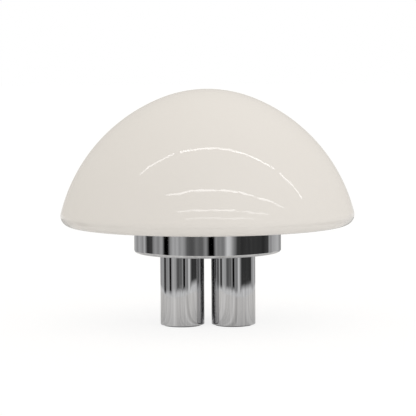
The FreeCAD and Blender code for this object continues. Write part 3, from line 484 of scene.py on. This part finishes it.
# %% Drawn lines group
drawn_lines, way_in, way_out = new_group(
    "drawn_lines", [("Across", FLOAT, 380.0), ("Along", FLOAT, 2.5)], [("Mask", FLOAT)])
spot = add(drawn_lines, "ShaderNodeTexCoord")
stretch = add(drawn_lines, "ShaderNodeCombineXYZ", {0: way_in.outputs["Across"], 1: way_in.outputs["Across"],
                                                    2: way_in.outputs["Along"]})
tall = add(drawn_lines, "ShaderNodeVectorMath", {0: spot.outputs["Object"], 1: stretch.outputs[0]},
           operation="MULTIPLY")
lines = add(drawn_lines, "ShaderNodeTexNoise", {"Vector": tall.outputs[0], "Scale": 1.0, "Detail": 3.0,
                                                "Roughness": 0.6})
sharper = add(drawn_lines, "ShaderNodeMapRange", {0: lines.outputs[0], 1: 0.3, 2: 0.7, 3: 0.0, 4: 1.0})
drawn_lines.links.new(sharper.outputs[0], way_out.inputs["Mask"])
print(drawn_lines.name, "nodes:", len(drawn_lines.nodes))

# %% [markdown]
# ### Chrome
# Plated chrome mirrors about six tenths of the light, a little blue-grey. The roughness stays very low, and
# a faint waviness bends the streaks. On the tubes the drawn lines darken the plate a touch here and there.
# The drum is pressed from sheet and polished all over, so it is the same plate with hardly any lines: one
# helper makes both.

# %% Chrome
def chromed(name, dark_line, bright_line):
    """Chrome plate whose drawn lines run between two near greys."""
    finish, tree, surface = new_finish(name, Metallic=1.0)
    drawn = add(tree, "ShaderNodeGroup", node_tree=drawn_lines)
    dark = (dark_line, dark_line, dark_line + 0.01, 1)
    bright = (bright_line, bright_line, bright_line + 0.005, 1)
    plate = add(tree, "ShaderNodeMix", {"Factor": drawn.outputs["Mask"], 6: dark, 7: bright}, data_type="RGBA")
    tree.links.new(plate.outputs[2], surface.inputs["Base Color"])
    marked(tree, surface, 30.0, 0.035, 0.075)
    spot = add(tree, "ShaderNodeTexCoord")
    waves = add(tree, "ShaderNodeTexNoise", {"Vector": spot.outputs["Object"], "Scale": 22.0, "Detail": 1.0})
    bumped(tree, surface, waves.outputs[0], 0.00012)
    return finish


drawn_chrome = chromed("drawn_chrome", 0.54, 0.68)
pressed_chrome = chromed("pressed_chrome", 0.60, 0.63)
print("chrome ready")

# %% [markdown]
# ### Enamel, zinc, brass and the bulbs' metal
# The tray under the glass is white enamel, the hidden nuts and rods are zinc plated, the lampholders'
# shells are brass, and the bulbs' caps are rolled from pale metal. All but the enamel are metals that
# differ in colour and in how cloudy they are, so one helper makes them.

# %% Metals and enamel
white_enamel, tree, surface = new_finish("white_enamel", Base_Color=(0.86, 0.86, 0.83, 1), IOR=1.5,
                                         Coat_Weight=0.4, Coat_Roughness=0.08)
marked(tree, surface, 25.0, 0.22, 0.34)
grain = add(tree, "ShaderNodeGroup", node_tree=moulded_grain)
grain.inputs["Scale"].default_value = 260.0
bumped(tree, surface, grain.outputs["Height"], 0.00001)


def plain_metal(name, colour, patch, scale, clean, cloudy):
    """A metal whose colour drifts between two near tones, with handling marks."""
    finish, tree, surface = new_finish(name, Metallic=1.0)
    spot = add(tree, "ShaderNodeTexCoord")
    patches = add(tree, "ShaderNodeTexNoise", {"Vector": spot.outputs["Object"], "Scale": scale * 3,
                                               "Detail": 5.0})
    tint = add(tree, "ShaderNodeMix", {"Factor": patches.outputs[0], 6: (*colour, 1), 7: (*patch, 1)},
               data_type="RGBA")
    tree.links.new(tint.outputs[2], surface.inputs["Base Color"])
    marked(tree, surface, scale, clean, cloudy)
    return finish


zinc_steel = plain_metal("zinc_steel", (0.62, 0.64, 0.66), (0.72, 0.72, 0.68), 60.0, 0.26, 0.40)
brass = plain_metal("brass", (0.72, 0.55, 0.28), (0.80, 0.65, 0.36), 50.0, 0.18, 0.32)
bulb_cap_metal = plain_metal("bulb_cap_metal", (0.74, 0.74, 0.73), (0.82, 0.81, 0.79), 80.0, 0.20, 0.34)
print("metals ready")

# %% [markdown]
# ### The bulbs' glass
# The bulbs are coated white inside. From outside they look like thin white shells with a clear gloss.

# %% Bulb glass
bulb_glass, tree, surface = new_finish("bulb_glass", IOR=1.5, Coat_Weight=0.5, Coat_Roughness=0.04)
spot = add(tree, "ShaderNodeTexCoord")
coating = add(tree, "ShaderNodeTexNoise", {"Vector": spot.outputs["Object"], "Scale": 120.0, "Detail": 4.0})
tint = add(tree, "ShaderNodeMix", {"Factor": coating.outputs[0], 6: (0.86, 0.85, 0.82, 1),
                                   7: (0.91, 0.90, 0.88, 1)}, data_type="RGBA")
tree.links.new(tint.outputs[2], surface.inputs["Base Color"])
marked(tree, surface, 40.0, 0.10, 0.2)
print("bulb glass nodes:", len(tree.nodes))

# %% [markdown]
# ### Plastics and rubber
# The lampholders, the tubes' plugs, the cord's bush, the terminal block, the leads and the grommet are
# moulded. They differ in colour, gloss and grain, so one helper makes them from those values.

# %% Plastics and rubber
DARKER_SKIN = 0.88
CLOUDIER_BY = 0.14


def moulded(name, colour, roughness, scale, depth):
    """A moulded material: its colour is slightly mottled and its skin has the mould's grain."""
    finish, tree, surface = new_finish(name, IOR=1.46)
    grain = add(tree, "ShaderNodeGroup", node_tree=moulded_grain)
    grain.inputs["Scale"].default_value = scale
    darker = tuple(part * DARKER_SKIN for part in colour)
    tint = add(tree, "ShaderNodeMix", {"Factor": grain.outputs["Mask"], 6: (*darker, 1), 7: (*colour, 1)},
               data_type="RGBA")
    tree.links.new(tint.outputs[2], surface.inputs["Base Color"])
    marked(tree, surface, 60.0, roughness, roughness + CLOUDIER_BY)
    bumped(tree, surface, grain.outputs["Height"], depth)
    return finish


holder_plastic = moulded("holder_plastic", (0.84, 0.81, 0.73), 0.24, 500.0, 0.00002)
plug_plastic = moulded("plug_plastic", (0.035, 0.035, 0.037), 0.42, 900.0, 0.00004)
bush_plastic = moulded("bush_plastic", (0.03, 0.03, 0.031), 0.36, 900.0, 0.00003)
block_plastic = moulded("block_plastic", (0.80, 0.78, 0.71), 0.34, 700.0, 0.00003)
lead_sheath = moulded("lead_sheath", (0.78, 0.78, 0.75), 0.38, 400.0, 0.00002)
black_rubber = moulded("black_rubber", (0.028, 0.028, 0.028), 0.6, 1200.0, 0.00006)
bulb_insulator = moulded("bulb_insulator", (0.03, 0.028, 0.03), 0.12, 600.0, 0.00001)
print("moulded finishes ready")

# %% [markdown]
# ### Felt rings and pads
# A pale felt ring lies between the glass and the drum, and a dark pad is glued under each tube. Fibres also
# catch light at grazing angles, which the shader's sheen does.

# %% Felts
def pressed_felt(name, dark, light):
    """Felt from its two fibre tones."""
    finish, tree, surface = new_finish(name, Roughness=0.95, Sheen_Weight=0.35, Sheen_Roughness=0.5)
    mat = add(tree, "ShaderNodeGroup", node_tree=felt_mat)
    mat.inputs["Dark Fibre"].default_value = (*dark, 1)
    mat.inputs["Light Fibre"].default_value = (*light, 1)
    tree.links.new(mat.outputs["Color"], surface.inputs["Base Color"])
    bumped(tree, surface, mat.outputs["Height"], 0.0003)
    return finish


seat_felt = pressed_felt("seat_felt", (0.52, 0.50, 0.45), (0.74, 0.72, 0.67))
foot_felt = pressed_felt("foot_felt", (0.05, 0.05, 0.05), (0.13, 0.13, 0.125))
print("felts ready")

# %% [markdown]
# ## Dressing the solids
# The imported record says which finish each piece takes. Listing sixty names by hand would invite mistakes,
# so each piece looks its finish up by the record's slot. Only the drum is picked by its name, for the plate
# with few lines.

# %% Dress every piece
FINISHES = {"opal_glass": opal_glass, "chrome": drawn_chrome, "white_enamel": white_enamel,
            "zinc_steel": zinc_steel, "brass": brass, "bulb_cap_metal": bulb_cap_metal,
            "bulb_glass": bulb_glass, "bulb_insulator": bulb_insulator,
            "holder_plastic": holder_plastic, "plug_plastic": plug_plastic, "bush_plastic": bush_plastic,
            "block_plastic": block_plastic, "lead_sheath": lead_sheath, "black_rubber": black_rubber,
            "seat_felt": seat_felt, "foot_felt": foot_felt}
dressed = 0
for subpart in frame["record"]["subparts"]:
    piece = frame["nodes"][subpart["node"]]
    for place in piece.material_slots:
        place.material = pressed_chrome if subpart["node"] == "drum" else FINISHES[subpart["material_slot"]]
        dressed += 1
print("dressed slots:", dressed)

# %% [markdown]
# ## Screw threads on the bulbs
# A bulb's cap is a thin metal cup with a round thread rolled into it. The solid is a plain cylinder, which
# is enough to turn in its holder. The thread could be a bump, but its wavy outline would be missing when
# the glass is lifted off. So each cap is made again as one sheet: rings of corners go up the cap, and each
# corner's radius follows a wave that climbs one pitch per turn. The wave fades out at both ends, so the
# sheet meets the black glass foot and the flare under the bulb.

# %% Thread maker
CAP_RADIUS, FLARE_RADIUS, FOOT_RADIUS = 0.00695, 0.0083, 0.0048
THREAD_PITCH, THREAD_DEPTH = 0.0254 / 9, 0.0007
THREAD_FADE = 0.002
THREADED_FROM, WAVE_FROM, FLARE_LENGTH, WAVE_STOPS_BEFORE = 0.0022, 0.0024, 0.003, 0.0006
RIM_WALL, RIM_DEPTH = 0.0007, 0.0012
AROUND, STEPS_UP = 48, 64


def threaded_radius(height, angle, low, high):
    """The cap's radius at a height above its foot, with the rolled thread between low and high."""
    wave = 0.5 - 0.5 * math.cos(2 * math.pi * (height / THREAD_PITCH) - angle)
    fade = min(1.0, max(0.0, (height - low) / THREAD_FADE)) * min(1.0, max(0.0, (high - height) / THREAD_FADE))
    return CAP_RADIUS - THREAD_DEPTH * wave * fade


def cap_rings(length):
    """The rings of the cup from its foot up: each ring lists a height and a radius for every corner."""
    flare_at = length - FLARE_LENGTH
    foot = [(0.0, FOOT_RADIUS), (0.0004, FOOT_RADIUS + 0.0007), (0.0011, 0.0062), (0.0017, 0.0067)]
    flare = [(flare_at + 0.0006, 0.0079), (flare_at + 0.0011, FLARE_RADIUS), (length - 0.0003, FLARE_RADIUS),
             (length, FLARE_RADIUS - 0.0002), (length, FLARE_RADIUS - RIM_WALL),
             (length - RIM_DEPTH, FLARE_RADIUS - RIM_WALL)]
    rings = [[(height, radius)] * AROUND for height, radius in foot]
    for step in range(STEPS_UP + 1):
        height = THREADED_FROM + (flare_at - THREADED_FROM) * step / STEPS_UP
        rings.append([(height, threaded_radius(height, 2 * math.pi * n / AROUND, WAVE_FROM,
                                               flare_at - WAVE_STOPS_BEFORE)) for n in range(AROUND)])
    rings += [[(height, radius)] * AROUND for height, radius in flare]
    return rings


def threaded_cap(side):
    """The threaded cup of one bulb, in place of its plain solid."""
    low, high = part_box(f"{side}_bulb_cap")
    centre_x, centre_y = (low[0] + high[0]) / 2, (low[1] + high[1]) / 2
    rings = cap_rings(high[2] - low[2])
    corners = []
    for ring in rings:
        for n, (height, radius) in enumerate(ring):
            angle = 2 * math.pi * n / AROUND
            x = centre_x + radius * math.cos(angle)
            y = centre_y + radius * math.sin(angle)
            corners.append((x, y, low[2] + height))
    faces = []
    for level in range(len(rings) - 1):
        here, above = level * AROUND, (level + 1) * AROUND
        for n in range(AROUND):
            after = (n + 1) % AROUND
            faces.append((here + n, here + after, above + after, above + n))
    mesh = bpy.data.meshes.new(f"{side}_threaded_cap")
    mesh.from_pydata(corners, [], faces)
    mesh.shade_smooth()
    mesh.materials.append(bulb_cap_metal)
    cap = bpy.data.objects.new(f"{side}_threaded_cap", mesh)
    bpy.context.scene.collection.objects.link(cap)
    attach(cap, f"{side}_bulb")
    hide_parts(f"{side}_bulb_cap")
    return cap


for bulb_side in ("right", "rear", "left", "front"):
    cap = threaded_cap(bulb_side)
    print(cap.name, "corners:", len(cap.data.vertices))

# %% [markdown]
# ## Size and finish
# The dressed lamp must keep the size of the solids; this cell only brings the scene up to date.

# %% Sizes and finish
bpy.context.view_layer.update()
